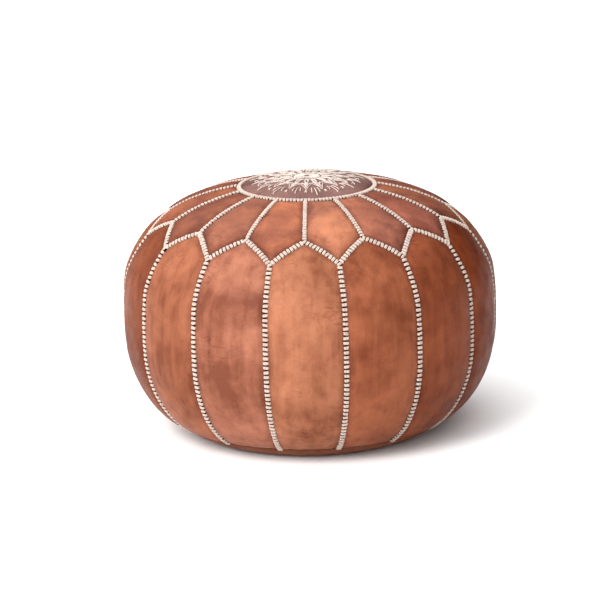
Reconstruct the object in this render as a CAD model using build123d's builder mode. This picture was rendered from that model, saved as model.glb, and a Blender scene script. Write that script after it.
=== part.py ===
from build123d import *
from math import cos, degrees, radians, sin
import os

# A stuffed Moroccan pouf: fifteen pointed top panels round an embroidered medallion, fifteen side
# panels under them, a zipped base, a cotton liner and its filling. Millimetres, +Z up. The origin is
# the middle of the flat base, on the surface that the pouf stands on.

# Driving dimensions of the outside.
WIDTH = 508.0
HEIGHT = 355.6
PANELS = 15
MEDALLION_R = 94.0
APEX_R = 193.0  # on plan, where a side panel's peak meets the radial seam above it
VALLEY_R = 225.0  # on plan, where a top panel's point meets the seam between two side panels
FLAT_R = 130.0  # the part of the base that touches the floor
LOW_Z = 140.0  # the side is upright from here
HIGH_Z = 218.0  # up to here
BASE_SEAM_Z = 16.0
STITCH_TOP_Z = 272.0  # the side seams' stitching stops here, under the zigzag's
POLE_ANGLE = 0.2  # the dome ends in a tiny flat at its pole, this much short of the axis

# Thicknesses and clearances.
LEATHER = 1.6
LINER = 0.4
STITCH = 0.8  # how far the cotton stitching stands on the leather
STITCH_WIDTH = 8.0
GAP = 0.2  # half the gap between two sewn edges
SOFT_GAP = 0.4  # between the leather, the liner and the filling
LINER_INSET = LEATHER + SOFT_GAP
FILLING_INSET = LINER_INSET + LINER + SOFT_GAP

# The embroidered rosette.
ROSETTE_POINTS = 16
ROSETTE_IN = 38.0
ROSETTE_OUT = 66.0
RAY_FROM = 57.0
RAY_LONG = 22.0
RAY_WIDE = 3.0

# The zip, in a furrow that the stuffing leaves across the base, along X.
FURROW_HALF = 17.0
FURROW_END = 172.0
LIP_Z = 5.5  # the underside of the leather lips that the zip is sewn to
LIP_EDGE = 8.0
SLOT_END = 134.0
TAPE_THICK = 0.6
TAPE_HALF = 15.0
TAPE_EDGE = 0.9
TAPE_PAST_SLOT = 4.0
CHAIN_END = 124.0
TOOTH_PITCH = 3.0
TOOTH_LONG = 1.7
TOOTH_REACH = 2.6
TOOTH_HIGH = 2.0
STOP_LONG = 2.5
STOP_CORNER = 0.6
LINER_ROOM = 9.5  # the liner's underside over the furrow
LINER_PAST_END = 1.0
FILLING_ROOM = LINER_ROOM + SOFT_GAP

# The slider and its pull, at the closed end of the zip.
CLEAR = 0.35
SLIDER_LONG = 11.0
SLIDER_HALF = 5.2
SLIDER_CORNER = 2.2
FLANGE_LONG = 6.0
PLATE = 0.9
WEDGE_HALF = 0.55
WEDGE_LONG = 4.0
WEDGE_BACK = 0.7  # from the slider's leading end
SLIDER_X = CHAIN_END - 6.0
BRIDGE_HALF = 3.5
BRIDGE_WIDE = 2.0
BRIDGE_WALL = 0.7
PIN_R = 0.55
PIN_CLEAR = 0.3
RING_INSIDE = 1.5
RING_END = 5.2
SHOULDER = RING_END + 2.0
PULL_LONG = 27.0
PULL_WIDE = 7.0
PULL_TIP = 2.5
PULL_THICK = 1.2

# Worked out from the values above.
SKIN_R = WIDTH / 2
SKIN_TOP = HEIGHT - STITCH
STEP = 360 / PANELS
BIG = WIDTH
TAPE_Z = LIP_Z + LEATHER
TOOTH_Z = TAPE_Z - TOOTH_HIGH
TOOTH_END = TAPE_EDGE + TOOTH_REACH
PLATE_Z = TOOTH_Z - CLEAR - PLATE
INNER_PLATE_Z = TAPE_Z + TAPE_THICK + CLEAR
PIVOT_Z = PLATE_Z - PIN_CLEAR - PULL_THICK / 2
BRIDGE_Z = PIVOT_Z - PIN_R - PIN_CLEAR - BRIDGE_WALL

os.makedirs("parts", exist_ok=True)


def on_plan(radius, angle):
    """A point on plan, its angle counted from the front, -Y, towards +X."""
    return (radius * sin(radians(angle)), -radius * cos(radians(angle)))


def section_plane(angle):
    """The upright plane through Z whose local X points outwards at this angle."""
    x, y = on_plan(1, angle)
    return Plane(origin=(0, 0, 0), x_dir=(x, y, 0), z_dir=(y, -x, 0))


def outline(inset):
    """Half the pouf's section, this far inside the leather's outer face."""
    side = SKIN_R - inset
    top = SKIN_TOP - inset
    with BuildSketch() as half:
        with BuildLine():
            Line((0, inset), (FLAT_R, inset))
            EllipticalCenterArc((FLAT_R, LOW_Z), side - FLAT_R, LOW_Z - inset, 270, arc_size=90)
            Line((side, LOW_Z), (side, HIGH_Z))
            dome = EllipticalCenterArc((0, HIGH_Z), side, top - HIGH_Z, 0, arc_size=90 - POLE_ANGLE)
            Line(dome @ 1, (0, (dome @ 1).Y))
            Line((0, (dome @ 1).Y), (0, inset))
        make_face()
    return half.sketch


def layer(outer, inner, low=None, high=None, near=0, far=BIG):
    """Half the section of a layer between two insets, kept between two heights and two radii."""
    low = -BIG if low is None else low
    high = BIG if high is None else high
    with BuildSketch() as section:
        add(outline(outer))
        add(outline(inner), mode=Mode.SUBTRACT)
        with Locations((near, low)):
            Rectangle(far - near, high - low, align=(Align.MIN, Align.MIN), mode=Mode.INTERSECT)
    return section.sketch


def star_plan(spread):
    """The plan inside the zigzag seam, its edge moved outwards by this much."""
    points = []
    for k in range(PANELS):
        points.append(on_plan(APEX_R, k * STEP))
        points.append(on_plan(VALLEY_R, (k + 0.5) * STEP))
    with BuildSketch() as plan:
        with BuildLine():
            Polyline(*points, close=True)
        make_face()
        offset(amount=spread, kind=Kind.INTERSECTION, mode=Mode.REPLACE)
    return plan.sketch


def export(part, name):
    """Labels a finished piece and writes it."""
    part.label = name
    export_step(part, f"parts/{name}.step")


# The round medallion in the middle of the top.
medallion_section = layer(0, LEATHER, low=HIGH_Z, far=MEDALLION_R - GAP)
with BuildPart() as medallion:
    with BuildSketch(Plane.XZ):
        add(medallion_section)
    revolve(axis=Axis.Z)
export(medallion.part, "medallion")

# The cotton rosette embroidered on the medallion: a star, with a ray between each two points.
rosette_section = layer(-STITCH, 0, low=HIGH_Z, far=MEDALLION_R - STITCH_WIDTH)
corners = []
for k in range(ROSETTE_POINTS):
    corners.append(on_plan(ROSETTE_OUT, k * 360 / ROSETTE_POINTS))
    corners.append(on_plan(ROSETTE_IN, (k + 0.5) * 360 / ROSETTE_POINTS))
with BuildPart() as medallion_embroidery:
    with BuildSketch(Plane.XZ):
        add(rosette_section)
    revolve(axis=Axis.Z)
    with BuildSketch(Plane.XY.offset(HIGH_Z)):
        with BuildLine():
            Polyline(*corners, close=True)
        make_face()
        ray_middle = RAY_FROM + RAY_LONG / 2
        with PolarLocations(ray_middle, ROSETTE_POINTS, start_angle=180 / ROSETTE_POINTS - 90):
            Rectangle(RAY_LONG, RAY_WIDE)
    extrude(amount=BIG, mode=Mode.INTERSECT)
export(medallion_embroidery.part, "medallion_embroidery")

# The top panels: each runs from the medallion to one outward point of the zigzag.
top_section = layer(0, LEATHER, low=HIGH_Z, near=MEDALLION_R + GAP)
inner_star = star_plan(-GAP)
top_turn = STEP - 2 * degrees(GAP / APEX_R)
for k in range(PANELS):
    first_seam = k * STEP + (STEP - top_turn) / 2
    with BuildPart() as top_panel:
        with BuildSketch(section_plane(first_seam)):
            add(top_section)
        revolve(axis=Axis.Z, revolution_arc=top_turn)
        with BuildSketch(Plane.XY.offset(HIGH_Z)):
            add(inner_star)
        extrude(amount=BIG, mode=Mode.INTERSECT)
    export(top_panel.part, f"top_panel_{k + 1:02d}")

# The side panels: each has a peak under a radial seam, and runs down to the base seam.
side_section = layer(0, LEATHER, low=BASE_SEAM_Z + GAP)
outer_star = star_plan(GAP)
side_turn = STEP - 2 * degrees(GAP / SKIN_R)
for k in range(PANELS):
    with BuildPart() as side_panel:
        with BuildSketch(section_plane(k * STEP - side_turn / 2)):
            add(side_section)
        revolve(axis=Axis.Z, revolution_arc=side_turn)
        with BuildSketch(Plane.XY.offset(HIGH_Z)):
            add(outer_star)
        extrude(amount=BIG, mode=Mode.SUBTRACT)
    export(side_panel.part, f"side_panel_{k + 1:02d}")

# The two halves of the base. Each turns up into the furrow, to a lip that the zip is sewn under.
base_section = layer(0, LEATHER, high=BASE_SEAM_Z - GAP)
with BuildPart() as inside:
    with BuildSketch(Plane.XZ):
        add(outline(0))
    revolve(axis=Axis.Z)
with BuildPart() as furrow:
    with BuildSketch(Plane.XY):
        Rectangle(2 * FURROW_END, 2 * FURROW_HALF)
        Rectangle(2 * FURROW_END, 2 * (FURROW_HALF - LEATHER), mode=Mode.SUBTRACT)
    extrude(amount=TAPE_Z)
    with BuildSketch(Plane.XY.offset(LIP_Z)):
        Rectangle(2 * FURROW_END, 2 * FURROW_HALF)
        Rectangle(2 * SLOT_END, 2 * LIP_EDGE, mode=Mode.SUBTRACT)
    extrude(amount=LEATHER)
    add(inside.part, mode=Mode.INTERSECT)
for name, side in (("base_panel_front", -1), ("base_panel_back", 1)):
    with BuildPart() as base_panel:
        with BuildSketch(Plane.XZ):
            add(base_section)
        revolve(axis=Axis.Z)
        with BuildSketch(Plane.XY):
            Rectangle(2 * FURROW_END, 2 * (FURROW_HALF - LEATHER))
        extrude(amount=TAPE_Z, mode=Mode.SUBTRACT)
        add(furrow.part)
        with BuildSketch(Plane.XY):
            with Locations((0, side * (BIG + GAP) / 2)):
                Rectangle(2 * BIG, BIG)
        extrude(amount=BIG, mode=Mode.INTERSECT)
    export(base_panel.part, name)

# The cotton stitching over the seams, as plain bands that lie on the leather.
ring_section = layer(
    -STITCH, 0, low=HIGH_Z, near=MEDALLION_R - STITCH_WIDTH / 2, far=MEDALLION_R + STITCH_WIDTH / 2
)
with BuildPart() as stitching_medallion_ring:
    with BuildSketch(Plane.XZ):
        add(ring_section)
    revolve(axis=Axis.Z)
export(stitching_medallion_ring.part, "stitching_medallion_ring")

radial_section = layer(
    -STITCH, 0, low=HIGH_Z, near=MEDALLION_R + STITCH_WIDTH / 2 + GAP, far=APEX_R - STITCH_WIDTH
)
with BuildPart() as stitching_radial:
    with BuildSketch(Plane.XZ):
        add(radial_section)
    revolve(axis=Axis.Z)
    with BuildSketch(Plane.XY.offset(HIGH_Z)):
        with PolarLocations(APEX_R / 2, PANELS, start_angle=-90):
            Rectangle(APEX_R, STITCH_WIDTH)
    extrude(amount=BIG, mode=Mode.INTERSECT)
export(stitching_radial.part, "stitching_radial")

zigzag_section = layer(-STITCH, 0, low=HIGH_Z, near=APEX_R - 2 * STITCH_WIDTH)
zigzag_outside = star_plan(STITCH_WIDTH / 2)
zigzag_inside = star_plan(-STITCH_WIDTH / 2)
with BuildPart() as stitching_zigzag:
    with BuildSketch(Plane.XZ):
        add(zigzag_section)
    revolve(axis=Axis.Z)
    with BuildSketch(Plane.XY.offset(HIGH_Z)):
        add(zigzag_outside)
        add(zigzag_inside, mode=Mode.SUBTRACT)
    extrude(amount=BIG, mode=Mode.INTERSECT)
export(stitching_zigzag.part, "stitching_zigzag")

upright_section = layer(-STITCH, 0, low=BASE_SEAM_Z + GAP, high=STITCH_TOP_Z)
with BuildPart() as stitching_side:
    with BuildSketch(Plane.XZ):
        add(upright_section)
    revolve(axis=Axis.Z)
    with BuildSketch(Plane.XY):
        with PolarLocations(SKIN_R / 2 + STITCH_WIDTH, PANELS, start_angle=STEP / 2 - 90):
            Rectangle(SKIN_R, STITCH_WIDTH)
    extrude(amount=BIG, mode=Mode.INTERSECT)
export(stitching_side.part, "stitching_side")

# The cotton bag inside the leather, whose mouth lies over the zip.
liner_section = layer(LINER_INSET, LINER_INSET + LINER)
with BuildPart() as cotton_liner:
    with BuildSketch(Plane.XZ):
        add(liner_section)
    revolve(axis=Axis.Z)
    with BuildSketch(Plane.XY):
        Rectangle(2 * (FURROW_END + LINER_PAST_END), 2 * (FURROW_HALF + SOFT_GAP))
    extrude(amount=LINER_ROOM, mode=Mode.SUBTRACT)
export(cotton_liner.part, "cotton_liner")

# The filling, packed cotton waste.
filling_section = outline(FILLING_INSET)
with BuildPart() as filling:
    with BuildSketch(Plane.XZ):
        add(filling_section)
    revolve(axis=Axis.Z)
    with BuildSketch(Plane.XY):
        Rectangle(
            2 * (FURROW_END + LINER_PAST_END + SOFT_GAP), 2 * (FURROW_HALF + 2 * SOFT_GAP)
        )
    extrude(amount=FILLING_ROOM, mode=Mode.SUBTRACT)
export(filling.part, "filling")

# The two woven tapes of the zip, sewn on top of the leather lips.
for name, side in (("zip_tape_front", -1), ("zip_tape_back", 1)):
    with BuildPart() as zip_tape:
        with BuildSketch(Plane.XY.offset(TAPE_Z)):
            with Locations((0, side * (TAPE_EDGE + TAPE_HALF) / 2)):
                Rectangle(2 * (SLOT_END + TAPE_PAST_SLOT), TAPE_HALF - TAPE_EDGE)
        extrude(amount=TAPE_THICK)
    export(zip_tape.part, name)

# The teeth, one row clamped on each tape's inner edge, half a pitch apart. The rows stand apart by
# the width of the slider's wedge.
tooth_count = int(2 * (CHAIN_END - TOOTH_PITCH) / TOOTH_PITCH)
for name, side in (("zip_teeth_front", -1), ("zip_teeth_back", 1)):
    with BuildPart() as zip_teeth:
        with BuildSketch(Plane.XY.offset(TOOTH_Z)):
            with Locations((side * TOOTH_PITCH / 4, side * (TAPE_EDGE + TOOTH_END) / 2)):
                with GridLocations(TOOTH_PITCH, 0, tooth_count, 1):
                    Rectangle(TOOTH_LONG, TOOTH_REACH)
        extrude(amount=TOOTH_HIGH)
    export(zip_teeth.part, name)

# The stops that keep the slider on the chain: one across both tapes at the open end, two at the other.
with BuildPart() as zip_bottom_stop:
    with BuildSketch(Plane.XY.offset(TOOTH_Z)):
        with Locations((-CHAIN_END - STOP_LONG, 0)):
            RectangleRounded(STOP_LONG, 2 * TOOTH_END, STOP_CORNER)
    extrude(amount=TOOTH_HIGH)
export(zip_bottom_stop.part, "zip_bottom_stop")
with BuildPart() as zip_top_stops:
    with BuildSketch(Plane.XY.offset(TOOTH_Z)):
        with Locations((CHAIN_END + STOP_LONG, 0)):
            with GridLocations(0, TAPE_EDGE + TOOTH_END, 1, 2):
                RectangleRounded(STOP_LONG, TOOTH_REACH, STOP_CORNER)
    extrude(amount=TOOTH_HIGH)
export(zip_top_stops.part, "zip_top_stops")

# The slider: an outer and an inner plate with flanges, joined by the wedge at the leading end, and a
# bridge under the outer plate that the pull hangs from.
flange_thick = SLIDER_HALF - TOOTH_END - CLEAR
with BuildPart() as zip_slider:
    for bottom in (PLATE_Z, INNER_PLATE_Z):
        with BuildSketch(Plane.XY.offset(bottom)):
            with Locations((SLIDER_X, 0)):
                RectangleRounded(SLIDER_LONG, 2 * SLIDER_HALF, SLIDER_CORNER)
        extrude(amount=PLATE)
    with BuildSketch(Plane.XY.offset(PLATE_Z + PLATE)):
        with Locations((SLIDER_X, 0)):
            with GridLocations(0, 2 * SLIDER_HALF - flange_thick, 1, 2):
                Rectangle(FLANGE_LONG, flange_thick)
    extrude(amount=TAPE_Z - CLEAR - PLATE_Z - PLATE)
    with BuildSketch(Plane.XY.offset(PLATE_Z + PLATE)):
        with Locations((SLIDER_X + SLIDER_LONG / 2 - WEDGE_BACK - WEDGE_LONG / 2, 0)):
            SlotOverall(WEDGE_LONG, 2 * WEDGE_HALF)
    extrude(amount=INNER_PLATE_Z - PLATE_Z - PLATE)
    with BuildSketch(Plane.XZ):
        with Locations((SLIDER_X, BRIDGE_Z)):
            Rectangle(
                2 * (BRIDGE_HALF + BRIDGE_WALL), PLATE_Z - BRIDGE_Z, align=(Align.CENTER, Align.MIN)
            )
        with Locations((SLIDER_X, BRIDGE_Z + BRIDGE_WALL)):
            Rectangle(
                2 * BRIDGE_HALF,
                PLATE_Z - BRIDGE_Z - BRIDGE_WALL,
                align=(Align.CENTER, Align.MIN),
                mode=Mode.SUBTRACT,
            )
    extrude(amount=BRIDGE_WIDE / 2, both=True)
export(zip_slider.part, "zip_slider")

# The pull: a pin through the bridge, two arms round it, and a tapered tab with a hole.
with BuildPart() as zip_pull:
    with BuildSketch(Plane.XY.offset(PIVOT_Z - PULL_THICK / 2)):
        with BuildLine():
            Polyline(
                (SLIDER_X, PULL_WIDE / 2),
                (SLIDER_X - SHOULDER, PULL_WIDE / 2),
                (SLIDER_X - PULL_LONG + PULL_TIP, PULL_TIP),
                (SLIDER_X - PULL_LONG, PULL_TIP / 2),
                (SLIDER_X - PULL_LONG, -PULL_TIP / 2),
                (SLIDER_X - PULL_LONG + PULL_TIP, -PULL_TIP),
                (SLIDER_X - SHOULDER, -PULL_WIDE / 2),
                (SLIDER_X, -PULL_WIDE / 2),
                close=True,
            )
        make_face()
        with Locations((SLIDER_X - RING_END, 0)):
            Rectangle(
                2 * RING_END, 2 * RING_INSIDE, align=(Align.MIN, Align.CENTER), mode=Mode.SUBTRACT
            )
        with Locations((SLIDER_X - PULL_LONG + 2 * PULL_TIP, 0)):
            Circle(PULL_TIP / 2, mode=Mode.SUBTRACT)
    extrude(amount=PULL_THICK)
    with BuildSketch(Plane.XZ):
        with Locations((SLIDER_X, PIVOT_Z)):
            Circle(PIN_R)
    extrude(amount=PULL_WIDE / 2, both=True)
export(zip_pull.part, "zip_pull")
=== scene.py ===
import math
import random

import bpy
import numpy as np
from mathutils import Matrix, Vector, noise


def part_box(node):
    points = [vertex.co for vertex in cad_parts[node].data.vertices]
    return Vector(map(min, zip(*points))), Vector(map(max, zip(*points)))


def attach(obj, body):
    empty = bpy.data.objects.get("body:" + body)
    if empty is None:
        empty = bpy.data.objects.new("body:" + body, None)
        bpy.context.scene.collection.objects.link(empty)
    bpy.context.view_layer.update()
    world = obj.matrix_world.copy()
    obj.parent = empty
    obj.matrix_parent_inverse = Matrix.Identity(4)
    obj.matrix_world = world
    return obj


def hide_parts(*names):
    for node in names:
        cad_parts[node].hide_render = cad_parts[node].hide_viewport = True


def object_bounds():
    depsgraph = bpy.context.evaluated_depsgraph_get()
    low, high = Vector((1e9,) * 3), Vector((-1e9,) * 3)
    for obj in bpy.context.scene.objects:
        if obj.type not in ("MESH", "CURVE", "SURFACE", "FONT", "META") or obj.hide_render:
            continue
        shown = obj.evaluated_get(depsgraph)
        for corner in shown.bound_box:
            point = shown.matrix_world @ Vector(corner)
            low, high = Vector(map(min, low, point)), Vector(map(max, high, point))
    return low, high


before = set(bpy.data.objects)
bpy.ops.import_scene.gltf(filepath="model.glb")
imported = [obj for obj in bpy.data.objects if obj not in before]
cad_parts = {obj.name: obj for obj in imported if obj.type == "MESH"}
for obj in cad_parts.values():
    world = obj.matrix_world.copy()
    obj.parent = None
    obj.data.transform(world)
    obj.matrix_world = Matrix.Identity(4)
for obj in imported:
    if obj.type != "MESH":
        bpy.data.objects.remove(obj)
cad_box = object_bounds()

# The studio: a pale floor that runs out of sight, a surround that glows from the front left and above
# and is dark on the right, and one soft key light.
floor_mesh = bpy.data.meshes.new("studio_floor")
floor_half = 30.0
floor_mesh.from_pydata(
    [(-floor_half, -floor_half, 0), (floor_half, -floor_half, 0), (floor_half, floor_half, 0),
     (-floor_half, floor_half, 0)], [], [(0, 1, 2, 3)])
floor = bpy.data.objects.new("studio_floor", floor_mesh)
bpy.context.scene.collection.objects.link(floor)
floor_paint = bpy.data.materials.new("pale_floor")
floor_paint.use_nodes = True
floor_shader = floor_paint.node_tree.nodes["Principled BSDF"]
floor_shader.inputs["Base Color"].default_value = (0.95, 0.95, 0.95, 1)
floor_shader.inputs["Roughness"].default_value = 0.9
floor_shader.inputs["Specular IOR Level"].default_value = 0.1
floor_mesh.materials.append(floor_paint)

world = bpy.data.worlds.new("studio_surround")
bpy.context.scene.world = world
world.use_nodes = True
surround = world.node_tree
glow_from = Vector((-0.45, -0.45, 0.77)).normalized()
facing = surround.nodes.new("ShaderNodeTexCoord")
toward = surround.nodes.new("ShaderNodeVectorMath")
toward.operation = "DOT_PRODUCT"
toward.inputs[1].default_value = glow_from
surround.links.new(facing.outputs["Generated"], toward.inputs[0])
glow = surround.nodes.new("ShaderNodeMapRange")
glow.interpolation_type = "SMOOTHSTEP"
glow.inputs["From Min"].default_value = 0.0
glow.inputs["From Max"].default_value = 1.0
glow.inputs["To Min"].default_value = 0.06
glow.inputs["To Max"].default_value = 2.75
surround.links.new(toward.outputs["Value"], glow.inputs["Value"])
surround.links.new(glow.outputs["Result"], surround.nodes["Background"].inputs["Strength"])
surround.nodes["Background"].inputs["Color"].default_value = (1, 1, 1, 1)
bpy.context.scene.view_settings.view_transform = "Standard"

key = bpy.data.lights.new("key_light", "AREA")
key.shape = "SQUARE"
key.size = 1.6
key.energy = 110
key_holder = bpy.data.objects.new("key_light", key)
key_holder.location = (-1.6, -2.9, 2.6)
key_holder.rotation_euler = (Vector((0, 0, 0.15)) - key_holder.location).to_track_quat("-Z", "Y").to_euler()
bpy.context.scene.collection.objects.link(key_holder)

# The camera stands 4.4 m away and 14 degrees up, a hair to the right of the front seam, and is rolled
# a little, so the pouf leans by about a degree.
camera_far = 4.422
camera_up = math.radians(14.36)
camera_round = math.radians(1.46)
camera_roll = math.radians(-1.34)
camera_yaw = math.radians(-0.173)
body_middle = Vector((0, 0, cad_box[1][2] / 2))
camera_data = bpy.data.cameras.new("camera")
camera_data.lens = 191.4
camera_data.sensor_width = 36.0
camera_data.clip_end = 100.0
camera = bpy.data.objects.new("camera", camera_data)
camera_place = body_middle + camera_far * Vector((
    math.cos(camera_up) * math.sin(camera_round),
    -math.cos(camera_up) * math.cos(camera_round),
    math.sin(camera_up)))
ahead = (body_middle - camera_place).normalized()
rightward = ahead.cross(Vector((0, 0, 1))).normalized()
upward = rightward.cross(ahead)
ahead = ahead * math.cos(camera_yaw) + rightward * math.sin(camera_yaw)
rightward = ahead.cross(upward).normalized()
upward = rightward.cross(ahead)
rolled_right = rightward * math.cos(camera_roll) + upward * math.sin(camera_roll)
rolled_up = upward * math.cos(camera_roll) - rightward * math.sin(camera_roll)
camera.matrix_world = Matrix.Translation(camera_place) @ Matrix(
    (rolled_right, rolled_up, -ahead)).transposed().to_4x4()
bpy.context.scene.collection.objects.link(camera)
bpy.context.scene.camera = camera

# The leather: goat hide, tanned and dyed by hand, so its colour pools and fades and streaks where the dye
# was brushed on. Shade is painted into its colour along the seams, in their grooves and in its creases.
# One node group makes it, and each panel has its own dye.


def add_sockets(group, takes, gives):
    """Names a node group's inputs and outputs."""
    for label, kind in takes:
        group.interface.new_socket(name=label, in_out="INPUT", socket_type=kind)
    for label, kind in gives:
        group.interface.new_socket(name=label, in_out="OUTPUT", socket_type=kind)


def value_math(tree, operation, first, second=None):
    """A math node on two links or numbers. Returns its output."""
    node = tree.nodes.new("ShaderNodeMath")
    node.operation = operation
    for socket, given in zip(node.inputs, (first, second)):
        if isinstance(given, (int, float)):
            socket.default_value = given
        elif given is not None:
            tree.links.new(given, socket)
    return node.outputs[0]


def spread(tree, value, low, high, to_low=0.0, to_high=1.0):
    """Maps a value from one range to another, clamped. Returns the output."""
    node = tree.nodes.new("ShaderNodeMapRange")
    node.inputs["From Min"].default_value = low
    node.inputs["From Max"].default_value = high
    node.inputs["To Min"].default_value = to_low
    node.inputs["To Max"].default_value = to_high
    tree.links.new(value, node.inputs["Value"])
    return node.outputs["Result"]


def tint(tree, blend, amount, first, second):
    """A colour mix of two links or colours. Returns its output."""
    node = tree.nodes.new("ShaderNodeMix")
    node.data_type = "RGBA"
    node.blend_type = blend
    for socket, given in ((node.inputs["Factor"], amount), (node.inputs[6], first), (node.inputs[7], second)):
        if isinstance(given, (int, float, tuple)):
            socket.default_value = given
        else:
            tree.links.new(given, socket)
    return node.outputs[2]


def speckle(tree, place, scale, detail=3.0, twist=0.0):
    """A noise texture at a place. Returns its value."""
    node = tree.nodes.new("ShaderNodeTexNoise")
    node.inputs["Scale"].default_value = scale
    node.inputs["Detail"].default_value = detail
    node.inputs["Distortion"].default_value = twist
    tree.links.new(place, node.inputs["Vector"])
    return node.outputs["Fac"]


hide = bpy.data.node_groups.new("hand_dyed_hide", "ShaderNodeTree")
add_sockets(
    hide,
    [("Dye", "NodeSocketColor"), ("Deep Dye", "NodeSocketColor"), ("Hide Place", "NodeSocketVector"),
     ("Blotches", "NodeSocketFloat"), ("Streaks", "NodeSocketFloat"), ("Seam Shade", "NodeSocketFloat")],
    [("Color", "NodeSocketColor"), ("Roughness", "NodeSocketFloat"), ("Height", "NodeSocketFloat")])
hide_in = hide.nodes.new("NodeGroupInput")
hide_out = hide.nodes.new("NodeGroupOutput")
hide_where = hide.nodes.new("ShaderNodeTexCoord")
hide_shift = hide.nodes.new("ShaderNodeVectorMath")
hide.links.new(hide_where.outputs["Object"], hide_shift.inputs[0])
hide.links.new(hide_in.outputs["Hide Place"], hide_shift.inputs[1])
hide_place = hide_shift.outputs[0]
hide_stretch = hide.nodes.new("ShaderNodeVectorMath")
hide_stretch.operation = "MULTIPLY"
hide_stretch.inputs[1].default_value = (1.0, 1.0, 0.13)
hide.links.new(hide_place, hide_stretch.inputs[0])
pools = spread(hide, speckle(hide, hide_place, 11.0, 4.0, 0.6), 0.36, 0.66)
blots = spread(hide, speckle(hide, hide_place, 42.0, 6.0, 0.4), 0.40, 0.72)
strokes = spread(hide, speckle(hide, hide_stretch.outputs[0], 95.0, 4.0, 0.2), 0.42, 0.70)
pooled = value_math(hide, "MULTIPLY", pools, hide_in.outputs["Blotches"])
blotted = value_math(hide, "MULTIPLY", value_math(hide, "MULTIPLY", blots, 0.55), hide_in.outputs["Blotches"])
stroked = value_math(hide, "MULTIPLY", strokes, hide_in.outputs["Streaks"])
depth = value_math(hide, "ADD", value_math(hide, "ADD", pooled, blotted), stroked)
hide_colour = tint(hide, "MIX", value_math(hide, "MINIMUM", depth, 1.0),
                   hide_in.outputs["Dye"], hide_in.outputs["Deep Dye"])
# Painted shade along the seams: near each seam the colour is darkened, with a ragged edge, by the panel's
# Seam Shade amount.
seam_far = hide.nodes.new("ShaderNodeAttribute")
seam_far.attribute_name = "from_seam"
ragged = value_math(hide, "MULTIPLY", speckle(hide, hide_place, 70.0, 4.0), 0.5)
painted_seam_shade = spread(hide, value_math(hide, "ADD", seam_far.outputs["Fac"], ragged), 0.25, 0.62, 1.0, 0.0)
seam_shade = value_math(hide, "MULTIPLY", painted_seam_shade, hide_in.outputs["Seam Shade"])
hide_colour = tint(hide, "MULTIPLY", seam_shade, hide_colour, (0.42, 0.30, 0.28, 1))
# Painted shade in the grooves: within about 4 mm of a seam, where the leather rolls under, the colour is
# darkened further.
painted_groove_shade = spread(hide, seam_far.outputs["Fac"], 0.0, 0.13, 0.8, 0.0)
hide_colour = tint(hide, "MULTIPLY", painted_groove_shade, hide_colour, (0.28, 0.18, 0.15, 1))
pores = hide.nodes.new("ShaderNodeTexVoronoi")
pores.inputs["Scale"].default_value = 620.0
hide.links.new(hide_place, pores.inputs["Vector"])
grain = spread(hide, pores.outputs["Distance"], 0.0, 0.55)
pore_shade = value_math(hide, "MULTIPLY", value_math(hide, "SUBTRACT", 1.0, grain), 0.22)
hide_colour = tint(hide, "MULTIPLY", pore_shade, hide_colour, (0.45, 0.35, 0.32, 1))
wrinkle = hide.nodes.new("ShaderNodeTexVoronoi")
wrinkle.feature = "DISTANCE_TO_EDGE"
wrinkle.inputs["Scale"].default_value = 88.0
wrinkle_warp = hide.nodes.new("ShaderNodeVectorMath")
wrinkle_noise = hide.nodes.new("ShaderNodeTexNoise")
wrinkle_noise.inputs["Scale"].default_value = 60.0
wrinkle_part = hide.nodes.new("ShaderNodeVectorMath")
wrinkle_part.operation = "SCALE"
wrinkle_part.inputs["Scale"].default_value = 0.011
hide.links.new(hide_place, wrinkle_noise.inputs["Vector"])
hide.links.new(wrinkle_noise.outputs["Color"], wrinkle_part.inputs[0])
hide.links.new(hide_place, wrinkle_warp.inputs[0])
hide.links.new(wrinkle_part.outputs[0], wrinkle_warp.inputs[1])
hide.links.new(wrinkle_warp.outputs[0], wrinkle.inputs["Vector"])
folds = spread(hide, wrinkle.outputs["Distance"], 0.0, 0.10)
# Painted shade in the creases: thin lines where the hide creases are darkened in colour, and the same lines
# are dented in the relief.
hide_flatten = hide.nodes.new("ShaderNodeVectorMath")
hide_flatten.operation = "MULTIPLY"
hide_flatten.inputs[1].default_value = (1.0, 1.0, 3.4)
hide.links.new(hide_place, hide_flatten.inputs[0])
level = value_math(hide, "SUBTRACT", speckle(hide, hide_flatten.outputs[0], 26.0, 2.0, 0.3), 0.5)
creases = spread(hide, value_math(hide, "ABSOLUTE", level), 0.0, 0.030, 1.0, 0.0)
creased = spread(hide, speckle(hide, hide_place, 14.0, 3.0), 0.50, 0.66, 0.0, 0.55)
crease_dent_and_painted_shade = value_math(hide, "MULTIPLY", creases, creased)
hide_colour = tint(hide, "MULTIPLY", crease_dent_and_painted_shade, hide_colour, (0.55, 0.42, 0.38, 1))
fine_relief = value_math(hide, "MULTIPLY", grain, 0.30)
fold_relief = value_math(hide, "MULTIPLY", folds, 0.45)
wave_relief = value_math(hide, "MULTIPLY", speckle(hide, hide_place, 30.0, 5.0), 1.1)
hide_height = value_math(hide, "ADD", value_math(hide, "ADD", fine_relief, fold_relief), wave_relief)
hide_height = value_math(hide, "SUBTRACT", hide_height, value_math(hide, "MULTIPLY", crease_dent_and_painted_shade, 0.9))
hide_rough = spread(hide, speckle(hide, hide_place, 55.0, 5.0), 0.3, 0.7, 0.40, 0.60)
hide.links.new(hide_colour, hide_out.inputs["Color"])
hide.links.new(hide_rough, hide_out.inputs["Roughness"])
hide.links.new(hide_height, hide_out.inputs["Height"])


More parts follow.
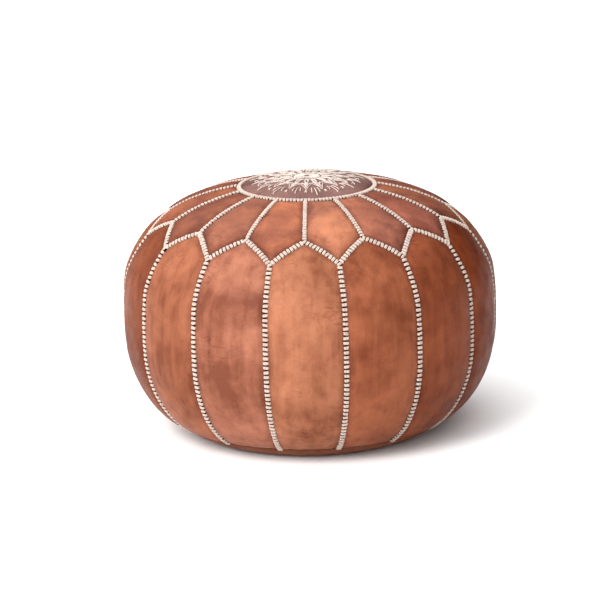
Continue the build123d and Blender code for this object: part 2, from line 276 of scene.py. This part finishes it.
def leather(name, dye, deep, place, blotches=0.5, streaks=0.25, seam_shade=0.6):
    """A panel's own leather: the hide group with this dye, laid out from this place."""
    finish = bpy.data.materials.new(name)
    finish.use_nodes = True
    tree = finish.node_tree
    shader = tree.nodes["Principled BSDF"]
    shader.inputs["Specular IOR Level"].default_value = 0.06
    made = tree.nodes.new("ShaderNodeGroup")
    made.node_tree = hide
    made.inputs["Dye"].default_value = (*dye, 1)
    made.inputs["Deep Dye"].default_value = (*deep, 1)
    made.inputs["Hide Place"].default_value = place
    made.inputs["Blotches"].default_value = blotches
    made.inputs["Streaks"].default_value = streaks
    made.inputs["Seam Shade"].default_value = seam_shade
    relief = tree.nodes.new("ShaderNodeBump")
    relief.inputs["Strength"].default_value = 0.35
    relief.inputs["Distance"].default_value = 0.0012
    tree.links.new(made.outputs["Color"], shader.inputs["Base Color"])
    tree.links.new(made.outputs["Roughness"], shader.inputs["Roughness"])
    tree.links.new(made.outputs["Height"], relief.inputs["Height"])
    tree.links.new(relief.outputs["Normal"], shader.inputs["Normal"])
    return finish


# The side panels: fifteen staves of leather with a peak, sewn edge to edge and swollen by the stuffing.
# Each is a skin of its own, drawn in along its seams and puckered between the stitches.
panels = 15
turn = 2 * math.pi / panels
body_radius = max(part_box("side_panel_05")[1][0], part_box("side_panel_04")[1][0])
body_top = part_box("medallion")[1][2]
base_seam_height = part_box("base_panel_front")[1][2]
flat_radius = 0.130
upright_from = 0.140
upright_to = 0.218
medallion_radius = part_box("medallion")[1][0]
apex_radius = 0.193
valley_radius = 0.225
leather_thick = 0.0016
settled_radius = 0.225
settled_by = 0.0055
bulge = 0.0028
bulge_height = 0.165
drop = 0.0052
drop_height = 0.262

low_arc = np.linspace(-math.pi / 2, 0, 700)
high_arc = np.linspace(0, math.pi / 2, 900)
profile_r = np.concatenate([
    np.linspace(0, flat_radius, 200)[:-1],
    flat_radius + (body_radius - flat_radius) * np.cos(low_arc),
    np.full(200, body_radius),
    body_radius * np.cos(high_arc)])
profile_z = np.concatenate([
    np.zeros(199),
    upright_from + upright_from * np.sin(low_arc),
    np.linspace(upright_from, upright_to, 202)[1:-1],
    upright_to + (body_top - upright_to) * np.sin(high_arc)])
profile_s = np.concatenate([[0], np.cumsum(np.hypot(np.diff(profile_r), np.diff(profile_z)))])
slope_r = np.gradient(profile_r, profile_s)
slope_z = np.gradient(profile_z, profile_s)
dome_part = profile_z >= upright_to


def skin_point(s, angle, lift):
    """Points on the pouf's skin: s metres along the profile, at an angle from the front, lifted. The
    stuffing has settled: a few millimetres lower at the crown and shoulder, fuller at the waist."""
    r = np.interp(s, profile_s, profile_r) + lift * np.interp(s, profile_s, slope_z)
    z = np.interp(s, profile_s, profile_z) - lift * np.interp(s, profile_s, slope_r)
    r = (r + bulge * np.exp(-((z - bulge_height) / 0.055) ** 2)
         - drop * np.exp(-((z - drop_height) / 0.036) ** 2))
    inward = np.clip((settled_radius - r) / settled_radius, 0, 1) * (z > upright_to)
    z = z - settled_by * inward * inward * (3 - 2 * inward)
    return np.stack([r * np.sin(angle), -r * np.cos(angle), z], -1)


def dome_s(radius):
    """How far along the profile the top has this radius on plan."""
    return np.interp(-radius, -profile_r[dome_part], profile_s[dome_part])


base_seam_s = np.interp(base_seam_height, profile_z[200:900], profile_s[200:900])
medallion_s = dome_s(medallion_radius)


def zigzag_s(angle):
    """How far along the profile the zigzag seam lies, at an angle from the nearest peak."""
    span = turn / 2
    away = np.abs((np.asarray(angle) + span) % turn - span)
    line = apex_radius * valley_radius * math.sin(span) / (
        apex_radius * np.sin(away) + valley_radius * np.sin(span - away))
    return dome_s(line)


def lumps(points, seed):
    """The unevenness of the stuffing at these points."""
    flat = points.reshape(-1, 3)
    out = np.array([noise.noise(Vector(p) * 9.0 + Vector((seed, 0, 0))) for p in flat])
    return out.reshape(points.shape[:-1])


def drawn_in(points, edges, seed):
    """How far the leather stands off the plain body, from its distances to its edges and the places
    along them: full in the middle, rolled under at a seam, dented at each stitch and creased."""
    full = np.ones(points.shape[:-1])
    rolled = np.zeros(points.shape[:-1])
    dents = np.zeros(points.shape[:-1])
    for number, (away, along) in enumerate(edges):
        full = full * (1 - np.exp(-(away / 0.030) ** 1.15))
        rolled = np.maximum(rolled, np.exp(-(away / 0.0046) ** 1.2))
        dents += 0.00045 * np.exp(-away / 0.006) * (0.5 + 0.5 * np.cos(2 * math.pi * along / 0.0072))
        creases = np.array([
            noise.noise(Vector((v / 0.011, w / 0.05, seed + 7.3 * number)))
            for v, w in zip(along.ravel(), away.ravel())]).reshape(away.shape)
        dents += 0.0020 * np.exp(-away / 0.020) * np.clip(creases, 0, 1)
    return 0.0036 * full - 0.0038 * rolled - dents + 0.0026 * lumps(points, seed) * full


def eased(count, pull=0.6):
    """Places from 0 to 1, closer together at both ends."""
    even = np.linspace(0, 1, count)
    return even - pull * np.sin(2 * math.pi * even) / (2 * math.pi)


def sheet_of(name, points, from_seam, finish, thick=leather_thick):
    """A skin over a grid of points, as thick as the leather, that remembers how far its seams are."""
    rows, columns = points.shape[:2]
    index = np.arange(rows * columns).reshape(rows, columns)
    faces = np.stack([index[:-1, :-1], index[:-1, 1:], index[1:, 1:], index[1:, :-1]], -1).reshape(-1, 4)
    mesh = bpy.data.meshes.new(name)
    mesh.from_pydata(points.reshape(-1, 3).tolist(), [], faces.tolist())
    mesh.polygons.foreach_set("use_smooth", [True] * len(faces))
    shade = mesh.attributes.new("from_seam", "FLOAT", "POINT")
    shade.data.foreach_set("value", np.clip(from_seam / 0.030, 0, 1).ravel())
    mesh.materials.append(finish)
    piece = bpy.data.objects.new(name, mesh)
    bpy.context.scene.collection.objects.link(piece)
    body = piece.modifiers.new("leather_thickness", "SOLIDIFY")
    body.thickness = thick
    body.offset = -1
    return piece


# The front seven side panels' dyes are partly each panel's own colour and partly painted shade: they darken
# towards the right-hand side and the outermost left panel, where the light falls off.
side_dyes_and_painted_shade = {
    0: (0.34, 0.130, 0.069), 1: (0.275, 0.086, 0.040), 2: (0.220, 0.059, 0.025), 3: (0.175, 0.038, 0.012),
    14: (0.31, 0.117, 0.070), 13: (0.295, 0.103, 0.053), 12: (0.185, 0.052, 0.023)}
shades = random.Random(11)
zigzag_tilt = 0.755
for k in range(panels):
    columns = (eased(45) - 0.5) * turn
    tops = zigzag_s(columns) - 0.0002
    part = eased(113)[:, None]
    s = base_seam_s + 0.0002 + (tops - base_seam_s) * part
    off = np.broadcast_to(columns, s.shape)
    angle = off + k * turn
    r = np.interp(s, profile_s, profile_r)
    edges = [
        (r * (turn / 2 + off), s),
        (r * (turn / 2 - off), s + 0.003),
        ((tops - s) * zigzag_tilt, r * off),
        (s - base_seam_s, r * off * 1.1),
    ]
    plain = skin_point(s, angle, 0 * s)
    lift = drawn_in(plain, edges, 3.1 * k)
    tone = shades.uniform(0.85, 1.1)
    dye = side_dyes_and_painted_shade.get(k, (0.28 * tone, 0.095 * tone, 0.043 * tone))
    deep = (0.46 * dye[0], 0.36 * dye[1], 0.32 * dye[2])
    finish = leather(f"side_leather_{k + 1:02d}", dye, deep, (0.37 * k, 1.9 * k, 0.5 * k),
                     shades.uniform(0.45, 0.75), 0.30, 0.6)
    nearest = np.minimum.reduce([away for away, along in edges])
    side = sheet_of(f"side_leather_{k + 1:02d}", skin_point(s, angle, lift), nearest, finish)
    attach(side, "pouf")
    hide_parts(f"side_panel_{k + 1:02d}")

# The top panels: fifteen petals from the medallion out to the zigzag, of redder leather with painted
# shade that is darkest at the points. They are sewn to each other, to the medallion and to the side panels.
top_dyes = {
    0: (0.43, 0.163, 0.086), 1: (0.345, 0.122, 0.070), 2: (0.30, 0.097, 0.058),
    14: (0.385, 0.130, 0.066), 13: (0.265, 0.096, 0.056), 12: (0.235, 0.080, 0.045)}
for k in range(panels):
    columns = (eased(37) - 0.5) * turn
    starts = zigzag_s(columns + turn / 2) + 0.0002
    part = eased(57)[:, None]
    s = starts + (medallion_s - 0.0002 - starts) * part
    off = np.broadcast_to(columns, s.shape)
    angle = off + (k + 0.5) * turn
    r = np.interp(s, profile_s, profile_r)
    edges = [
        (r * (turn / 2 + off), s),
        (r * (turn / 2 - off), s + 0.003),
        ((s - starts) * zigzag_tilt, r * off),
        (medallion_s - s, r * off),
    ]
    plain = skin_point(s, angle, 0 * s)
    lift = drawn_in(plain, edges, 40 + 2.7 * k)
    tone = shades.uniform(0.85, 1.15)
    dye = top_dyes.get(k, (0.27 * tone, 0.089 * tone, 0.045 * tone))
    deep = (0.40 * dye[0], 0.38 * dye[1], 0.50 * dye[2])
    finish = leather(f"top_leather_{k + 1:02d}", dye, deep, (0.61 * k, 0.23 * k, 1.3 * k),
                     shades.uniform(0.5, 0.8), 0.12, 0.8)
    # Painted shade at the points: the distance to the zigzag counts for only 0.42 of itself here, so the
    # painted seam shade reaches further into each petal's point.
    nearest = np.minimum.reduce([edges[0][0], edges[1][0], 0.42 * edges[2][0], edges[3][0]])
    petal = sheet_of(f"top_leather_{k + 1:02d}", skin_point(s, angle, lift), nearest, finish)
    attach(petal, "pouf")
    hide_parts(f"top_panel_{k + 1:02d}")

# The medallion: one disc of dark leather in the middle of the top, that the petals are sewn to.
rings = eased(61, 0.5)[1:]
ring_s = medallion_s + 0.0002 + (profile_s[-1] - medallion_s - 0.0002) * (1 - rings)
spokes = np.linspace(0, 2 * math.pi, 181)
s = np.repeat(ring_s[::-1][:, None], len(spokes), 1)
angle = np.broadcast_to(spokes, s.shape)
r = np.interp(s, profile_s, profile_r)
medallion_seed = 90.0
plain = skin_point(s, angle, 0 * s)
lift = drawn_in(plain, [(s - medallion_s, 0 * s + 0.0036)], medallion_seed)
medallion_points = skin_point(s, angle, lift)
dark_leather = leather("medallion_leather", (0.230, 0.122, 0.102), (0.11, 0.055, 0.050), (5, 2, 1),
                       0.7, 0.1, 0.4)
medallion = sheet_of("medallion_leather", medallion_points, s - medallion_s, dark_leather)
join = medallion.modifiers.new("closed_round", "WELD")
join.merge_threshold = 0.00005
medallion.modifiers.move(1, 0)
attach(medallion, "pouf")
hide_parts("medallion")

# The cotton thread: several loose plies of undyed cotton, laid side by side. The embroidery on the
# medallion is a rosette of laid thread, thick in its middle, with rays out to the seam.
thread_spots = bpy.data.node_groups.new("cotton_plies", "ShaderNodeTree")
add_sockets(
    thread_spots,
    [("Cotton", "NodeSocketColor"), ("Soiled", "NodeSocketColor")],
    [("Color", "NodeSocketColor"), ("Height", "NodeSocketFloat")])
plies_in = thread_spots.nodes.new("NodeGroupInput")
plies_out = thread_spots.nodes.new("NodeGroupOutput")
plies_where = thread_spots.nodes.new("ShaderNodeTexCoord")
soiling = spread(thread_spots, speckle(thread_spots, plies_where.outputs["Object"], 130.0, 4.0), 0.45, 0.75)
ply_colour = tint(thread_spots, "MIX", value_math(thread_spots, "MULTIPLY", soiling, 0.55),
                  plies_in.outputs["Cotton"], plies_in.outputs["Soiled"])
fibres = speckle(thread_spots, plies_where.outputs["Object"], 1900.0, 3.0)
ply_colour = tint(thread_spots, "MULTIPLY", value_math(thread_spots, "MULTIPLY", fibres, 0.25),
                  ply_colour, (0.72, 0.62, 0.52, 1))
thread_spots.links.new(ply_colour, plies_out.inputs["Color"])
thread_spots.links.new(fibres, plies_out.inputs["Height"])


def cotton(name, fresh, soiled):
    """Cotton thread of this colour."""
    finish = bpy.data.materials.new(name)
    finish.use_nodes = True
    tree = finish.node_tree
    shader = tree.nodes["Principled BSDF"]
    shader.inputs["Roughness"].default_value = 0.85
    shader.inputs["Specular IOR Level"].default_value = 0.2
    shader.inputs["Sheen Weight"].default_value = 0.25
    made = tree.nodes.new("ShaderNodeGroup")
    made.node_tree = thread_spots
    made.inputs["Cotton"].default_value = (*fresh, 1)
    made.inputs["Soiled"].default_value = (*soiled, 1)
    relief = tree.nodes.new("ShaderNodeBump")
    relief.inputs["Strength"].default_value = 0.5
    relief.inputs["Distance"].default_value = 0.0003
    tree.links.new(made.outputs["Color"], shader.inputs["Base Color"])
    tree.links.new(made.outputs["Height"], relief.inputs["Height"])
    tree.links.new(relief.outputs["Normal"], shader.inputs["Normal"])
    return finish


undyed = cotton("undyed_cotton", (0.51, 0.415, 0.36), (0.35, 0.255, 0.21))


def lay_thread(heap, path, ups, half_wide, half_high, sides=6):
    """Adds a thread to a heap of points and faces: a closed tube of flattened section along a path."""
    points, faces = heap
    along = np.gradient(path, axis=0)
    along /= np.linalg.norm(along, axis=1)[:, None]
    across = np.cross(along, ups)
    across /= np.linalg.norm(across, axis=1)[:, None]
    above = np.cross(across, along)
    turns = np.linspace(0, 2 * math.pi, sides, endpoint=False)
    thin = np.ones(len(path))
    thin[0] = thin[-1] = 0.55
    section = (
        across[:, None] * (np.cos(turns) * half_wide)[None, :, None]
        + above[:, None] * (np.sin(turns) * half_high)[None, :, None])
    tube = path[:, None] + section * thin[:, None, None]
    first = sum(len(p) for p in points)
    points.append(tube.reshape(-1, 3))
    for i in range(len(path) - 1):
        for j in range(sides):
            a = first + i * sides + j
            b = first + i * sides + (j + 1) % sides
            faces.append((a, b, b + sides, a + sides))
    faces.append(tuple(first + j for j in range(sides))[::-1])
    faces.append(tuple(first + (len(path) - 1) * sides + j for j in range(sides)))


def thread_piece(name, heap, finish, node):
    """Makes one piece of a heap of threads, in place of a CAD node."""
    points, faces = heap
    mesh = bpy.data.meshes.new(name)
    mesh.from_pydata(np.concatenate(points).tolist(), [], faces)
    mesh.polygons.foreach_set("use_smooth", [len(f) == 4 for f in faces])
    mesh.materials.append(finish)
    piece = bpy.data.objects.new(name, mesh)
    bpy.context.scene.collection.objects.link(piece)
    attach(piece, "pouf")
    if node:
        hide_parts(node)
    return piece


def on_top(radius, angle, lift):
    """Places on the medallion's leather, lifted, and the way up there."""
    s = dome_s(radius)
    swell = drawn_in(skin_point(s, angle, 0 * s), [(s - medallion_s, 0 * s + 0.0036)], medallion_seed)
    place = skin_point(s, angle, swell + lift)
    return place, (skin_point(s, angle, swell + lift + 0.01) - place) / 0.01


def embroider(heap, ends, half_wide, steps=9, bow=0.0, lift=0.0006):
    """Lays a thread on the medallion between two (radius, angle) ends, bowed sideways by some metres."""
    (r0, a0), (r1, a1) = ends
    t = np.linspace(0, 1, steps)
    x = r0 * math.sin(a0) + (r1 * math.sin(a1) - r0 * math.sin(a0)) * t
    y = r0 * math.cos(a0) + (r1 * math.cos(a1) - r0 * math.cos(a0)) * t
    length = math.hypot(x[-1] - x[0], y[-1] - y[0])
    swell = bow * np.sin(math.pi * t)
    x, y = x + swell * (y[-1] - y[0]) / length, y - swell * (x[-1] - x[0]) / length
    level = lift + 0.0006 * np.sin(math.pi * t) - 0.0016 * (np.abs(2 * t - 1) ** 6)
    place, up = on_top(np.hypot(x, y), np.arctan2(x, y), level)
    lay_thread(heap, place, up, half_wide, 0.0005)


rosette = ([], [])
hand = random.Random(5)
points_round = 16
wedge = 2 * math.pi / points_round
fine = 0.00052
for k in range(points_round):
    a = k * wedge
    wobble = hand.uniform(-0.035, 0.035)
    for offset in (0.0, 0.3, -0.3):
        embroider(rosette, ((0.006, a + offset * wedge), (0.019, a + offset * wedge)), fine)
    for bow in (0.0030, -0.0030, 0.0014, -0.0014):
        embroider(rosette, ((0.019, a + wobble), (0.039, a + wobble)), fine, 11, bow)
    for inner, tip in ((0.033, 0.053), (0.040, 0.061)):
        tip += hand.uniform(-0.002, 0.002)
        embroider(rosette, ((inner, a - wedge / 2), (tip, a + wobble)), fine)
        embroider(rosette, ((tip, a + wobble), (inner, a + wedge / 2)), fine)
    for row in range(5):
        r0 = 0.042 + 0.0030 * row
        half = 0.0034 - 0.0006 * row
        embroider(rosette, ((r0, a - half / r0), (r0 + 0.0006, a + half / r0)), fine, 5)
    b = a + wedge / 2
    for spread_by, far in ((0.0, 0.080), (0.17, 0.071), (-0.17, 0.071)):
        far += hand.uniform(-0.005, 0.003)
        embroider(rosette, ((0.055, b + spread_by * wedge), (far, b + spread_by * wedge * 1.2)), fine * 1.15)
    embroider(rosette, ((0.066, a - 0.02), (0.072, a + 0.02)), fine * 1.3, 5)
    embroider(rosette, ((0.072, a - 0.02), (0.066, a + 0.02)), fine * 1.3, 5)
for loop_r in (0.0055, 0.0210, 0.0400):
    loop = np.linspace(0, 2 * math.pi, 12 * points_round + 1)[:-1]
    loop = np.append(loop, loop[:2] + 2 * math.pi)
    place, up = on_top(loop_r + 0.0008 * np.sin(loop * points_round), loop, 0.0008)
    lay_thread(rosette, place, up, fine * 1.2, 0.0005)
laid_cotton = cotton("laid_cotton", (0.60, 0.52, 0.47), (0.37, 0.29, 0.26))
thread_piece("medallion_rosette", rosette, laid_cotton, "medallion_embroidery")

# The seam stitching: bars of three cotton plies laid across every seam by hand, each going down into
# its own pair of punched holes. The bars are apart on the sides and nearly touch on top.
ply_apart = 0.00134
ply_half = 0.00076


def sew(heap, places, ups, alongs, wide, seed):
    """Lays one bar of three plies across a seam at each place."""
    maker = random.Random(seed)
    t = np.linspace(-1, 1, 9)
    for place, up, along in zip(places, ups, alongs):
        up = up / np.linalg.norm(up)
        along = along / np.linalg.norm(along)
        across = np.cross(along, up)
        lean = maker.uniform(-0.16, 0.16)
        half = wide / 2 * maker.uniform(0.92, 1.08)
        for ply in (-1, 0, 1):
            shift = ply * ply_apart * maker.uniform(0.9, 1.1)
            rise = 0.0005 + (0.0003 if ply == 0 else 0) + maker.uniform(-0.0001, 0.0002)
            sag = rise - 0.0029 * np.abs(t) ** 4 - 0.0007 * np.exp(-(t / 0.2) ** 2)
            path = (place + across * (t * half)[:, None] + up * sag[:, None]
                    + along * (shift * (1 - 0.25 * t ** 2) + lean * t * half)[:, None])
            lay_thread(heap, path, np.repeat(up[None], len(t), 0), ply_half, ply_half, 5)


def line_of(s, angle, sunk=0.0008):
    """Places on the body along a seam, with the way up and the way along at each."""
    place = skin_point(s, angle, 0 * s - sunk)
    up = (skin_point(s, angle, 0.01 + 0 * s) - place)
    return place, up, np.gradient(place, axis=0)


def spaced(s, angle, pitch):
    """The same seam, at even steps of about one pitch."""
    place = skin_point(s, angle, 0 * s)
    far = np.concatenate([[0], np.cumsum(np.linalg.norm(np.diff(place, axis=0), axis=1))])
    count = max(2, int(round(far[-1] / pitch)) + 1)
    at = np.linspace(0, far[-1], count)
    return np.interp(at, far, s), np.interp(at, far, angle)


side_bars = ([], [])
radial_bars = ([], [])
zigzag_bars = ([], [])
ring_bars = ([], [])
valley_s = zigzag_s(turn / 2)
apex_s = zigzag_s(0.0)
for k in range(panels):
    s, angle = spaced(np.linspace(base_seam_s + 0.004, valley_s - 0.006, 200),
                      np.full(200, (k + 0.5) * turn), 0.0064)
    sew(side_bars, *line_of(s, angle), 0.0076, k)
    s, angle = spaced(np.linspace(apex_s + 0.006, medallion_s - 0.006, 200),
                      np.full(200, k * turn), 0.0051)
    sew(radial_bars, *line_of(s, angle), 0.0058, 100 + k)
    for first, second in ((0.0, 0.5), (0.5, 1.0)):
        angle = np.linspace(k + first, k + second, 120) * turn
        s, angle = spaced(zigzag_s(angle), angle, 0.0054)
        middle = slice(0 if first == 0.0 else 1, len(s) - 1 if first else len(s))
        place, up, along = line_of(s, angle)
        sew(zigzag_bars, place[middle], up[middle], along[middle], 0.0074, 200 + 2 * k + int(2 * first))
round_the_ring = np.linspace(0, 2 * math.pi, 120, endpoint=False)
ring_place, ring_up, ring_along = line_of(np.full(120, medallion_s), round_the_ring)
ring_along[0] = ring_along[1]
ring_along[-1] = ring_along[-2]
sew(ring_bars, ring_place, ring_up, ring_along, 0.0060, 400)
thread_piece("side_seam_stitches", side_bars, undyed, "stitching_side")
thread_piece("radial_seam_stitches", radial_bars, undyed, "stitching_radial")
thread_piece("zigzag_seam_stitches", zigzag_bars, undyed, "stitching_zigzag")
thread_piece("medallion_seam_stitches", ring_bars, undyed, "stitching_medallion_ring")

# The base: two halves of leather, sewn to the side panels all round and to each other past the ends of
# the zip. The stuffing pushes it flat on the floor but leaves a furrow along the zip.
seam_radius = float(np.interp(base_seam_s, profile_s, profile_r))
lip_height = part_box("zip_tape_front")[0][2] - leather_thick
slot_half = 0.0080
slot_reach = 0.134
furrow_inner = 0.0125
furrow_outer = 0.0215
for side, name in ((-1, "front"), (1, "back")):
    sweep = np.linspace(0.004, math.pi - 0.004, 150)
    x = (seam_radius - 0.0002) * np.cos(sweep)
    outer_y = (seam_radius - 0.0002) * np.sin(sweep)
    open_slot = np.clip((slot_reach + 0.003 - np.abs(x)) / 0.003, 0, 1)
    inner_y = np.minimum(0.0002 + slot_half * open_slot, outer_y * 0.5)
    part = eased(70)[:, None]
    y = inner_y + (outer_y - inner_y) * part
    x = np.broadcast_to(x, y.shape)
    r = np.hypot(x, y)
    s = np.interp(r, profile_r[:899], profile_s[:899])
    angle = np.arctan2(x, -side * y)
    plain = skin_point(s, angle, 0 * s)
    edges = [(base_seam_s - s, r * angle * 1.0)]
    lift = drawn_in(plain, edges, 130.0 + side)
    on_floor = np.clip((r - flat_radius) / 0.03, 0, 1)
    points = skin_point(s, angle, lift * on_floor)
    rise = np.clip((furrow_outer - y) / (furrow_outer - furrow_inner), 0, 1)
    rise = rise * rise * (3 - 2 * rise)
    points[..., 2] += np.clip(lip_height - points[..., 2], 0, 1) * rise
    points[..., 2] = np.maximum(points[..., 2], 0.0)
    if side < 0:
        points = points[:, ::-1]
    # Painted shade in the furrow along the zip: there the seam distance is held at 12 mm, so the painted seam
    # shade darkens it a little; elsewhere it darkens only near the seam round the rim.
    near = np.minimum(base_seam_s - s, np.where(rise > 0.99, 0.012, 0.03))
    near = near[:, ::-1] if side < 0 else near
    base_hide = leather(f"base_leather_{name}", (0.23, 0.080, 0.040), (0.12, 0.038, 0.020),
                        (8, 3 + side, 2), 0.5, 0.1, 0.5)
    half_base = sheet_of(f"base_leather_{name}", points, near, base_hide)
    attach(half_base, "pouf")
    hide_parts(f"base_panel_{name}")

# The inside: a plain cotton bag that lines the leather, and the cotton waste packed into it.
for name, node, inset, swell, tone in (
        ("cotton_lining", "cotton_liner", 0.0058, 0.0004, 0.72),
        ("packed_filling", "filling", 0.0072, 0.0009, 0.60)):
    s = np.repeat(np.linspace(0.0005, profile_s[-1] - 0.0005, 120)[:, None], 121, 1)
    angle = np.broadcast_to(np.linspace(0, 2 * math.pi, 121), s.shape)
    plain = skin_point(s, angle, 0 * s)
    deep = -inset + swell * lumps(plain, 60.0) * np.sin(math.pi * s / profile_s[-1])
    points = skin_point(s, angle, deep)
    over_zip = np.clip((0.026 - np.abs(points[..., 1])) / 0.006, 0, 1) * (np.abs(points[..., 0]) < 0.178)
    points[..., 2] = np.maximum(points[..., 2], (0.0105 + inset - 0.0058) * over_zip)
    cloth = cotton(f"{name}_cloth", (tone, tone * 0.95, tone * 0.86), (tone * 0.8, tone * 0.74, tone * 0.64))
    inner = sheet_of(name, points, 0 * s + 0.03, cloth, 0.0004)
    weld = inner.modifiers.new("closed_round", "WELD")
    weld.merge_threshold = 0.00005
    inner.modifiers.move(1, 0)
    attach(inner, "pouf")
    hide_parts(node)

# The zip across the base: brass teeth clamped on woven tape, with a slider and its pull. The tapes are
# the modelled ones, and so are the stops, slider and pull, with softened edges. The teeth have shaped
# tips that stop short of the middle, so the two rows don't mesh.
brass = bpy.data.materials.new("aged_brass")
brass.use_nodes = True
brass_tree = brass.node_tree
brass_shader = brass_tree.nodes["Principled BSDF"]
brass_shader.inputs["Metallic"].default_value = 1.0
brass_where = brass_tree.nodes.new("ShaderNodeTexCoord")
tarnish = spread(brass_tree, speckle(brass_tree, brass_where.outputs["Object"], 700.0, 5.0), 0.4, 0.7)
brass_tree.links.new(tint(brass_tree, "MIX", tarnish, (0.62, 0.43, 0.18, 1), (0.34, 0.22, 0.10, 1)),
                     brass_shader.inputs["Base Color"])
brass_tree.links.new(spread(brass_tree, tarnish, 0.0, 1.0, 0.28, 0.52), brass_shader.inputs["Roughness"])
tape = bpy.data.materials.new("zip_tape_weave")
tape.use_nodes = True
tape_tree = tape.node_tree
tape_shader = tape_tree.nodes["Principled BSDF"]
tape_shader.inputs["Roughness"].default_value = 0.9
tape_where = tape_tree.nodes.new("ShaderNodeTexCoord")
ribs = tape_tree.nodes.new("ShaderNodeTexWave")
ribs.bands_direction = "DIAGONAL"
ribs.inputs["Scale"].default_value = 420.0
ribs.inputs["Distortion"].default_value = 0.6
tape_tree.links.new(tape_where.outputs["Object"], ribs.inputs["Vector"])
tape_tree.links.new(
    tint(tape_tree, "MIX", ribs.outputs["Fac"], (0.075, 0.032, 0.020, 1), (0.15, 0.075, 0.050, 1)),
    tape_shader.inputs["Base Color"])
tape_relief = tape_tree.nodes.new("ShaderNodeBump")
tape_relief.inputs["Distance"].default_value = 0.0002
tape_tree.links.new(ribs.outputs["Fac"], tape_relief.inputs["Height"])
tape_tree.links.new(tape_relief.outputs["Normal"], tape_shader.inputs["Normal"])
for node, finish, soften in (
        ("zip_tape_front", tape, 0.0), ("zip_tape_back", tape, 0.0), ("zip_bottom_stop", brass, 0.0003),
        ("zip_top_stops", brass, 0.0003), ("zip_slider", brass, 0.0003), ("zip_pull", brass, 0.0003)):
    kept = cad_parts[node]
    if not kept.material_slots:
        kept.data.materials.append(finish)
    for place in kept.material_slots:
        place.link = "OBJECT"
        place.material = finish
    if soften:
        edge = kept.modifiers.new("soft_edges", "BEVEL")
        edge.width = soften
        edge.segments = 2
        edge.limit_method = "ANGLE"

tooth_outline = [
    (-0.85, 3.5), (0.85, 3.5), (0.85, 1.9), (0.50, 1.45), (0.66, 1.0), (0.45, 0.64),
    (-0.45, 0.64), (-0.66, 1.0), (-0.50, 1.45), (-0.85, 1.9)]
for side, name in ((-1, "front"), (1, "back")):
    low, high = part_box(f"zip_teeth_{name}")
    pitch = 0.003
    count = int(round((high[0] - low[0] - 0.0017) / pitch)) + 1
    verts = []
    faces = []
    for n in range(count):
        x0 = low[0] + 0.00085 + n * pitch
        first = len(verts)
        size = len(tooth_outline)
        for level, shrink in ((low[2], 0.86), (low[2] + 0.0003, 1.0), (high[2] - 0.0001, 1.0)):
            verts += [(x0 + px * 0.001 * shrink, side * py * 0.001, level) for px, py in tooth_outline]
        for ring in range(2):
            for j in range(size):
                a = first + ring * size + j
                b = first + ring * size + (j + 1) % size
                faces.append((a, b, b + size, a + size))
        faces.append(tuple(first + j for j in range(size))[::-1])
        faces.append(tuple(first + 2 * size + j for j in range(size)))
    if side < 0:
        faces = [f[::-1] for f in faces]
    mesh = bpy.data.meshes.new(f"brass_teeth_{name}")
    mesh.from_pydata(verts, [], faces)
    mesh.materials.append(brass)
    teeth = bpy.data.objects.new(f"brass_teeth_{name}", mesh)
    bpy.context.scene.collection.objects.link(teeth)
    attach(teeth, "pouf")
    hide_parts(f"zip_teeth_{name}")

# The zip's sewing: a row of lockstitch in brown thread through the leather lip on each side.
zip_sewing = ([], [])
brown = cotton("brown_thread", (0.24, 0.10, 0.06), (0.12, 0.05, 0.03))
for side in (-1, 1):
    for n in range(44):
        x0 = -0.131 + n * 0.006
        t = np.linspace(0, 1, 6)
        path = np.stack([x0 + 0.0046 * t, np.full(6, side * 0.0102),
                         lip_height - 0.0003 + 0.0009 * np.abs(2 * t - 1) ** 3], -1)
        lay_thread(zip_sewing, path, np.tile((0.0, 0.0, -1.0), (6, 1)), 0.00035, 0.0003)
thread_piece("zip_sewing", zip_sewing, brown, None)
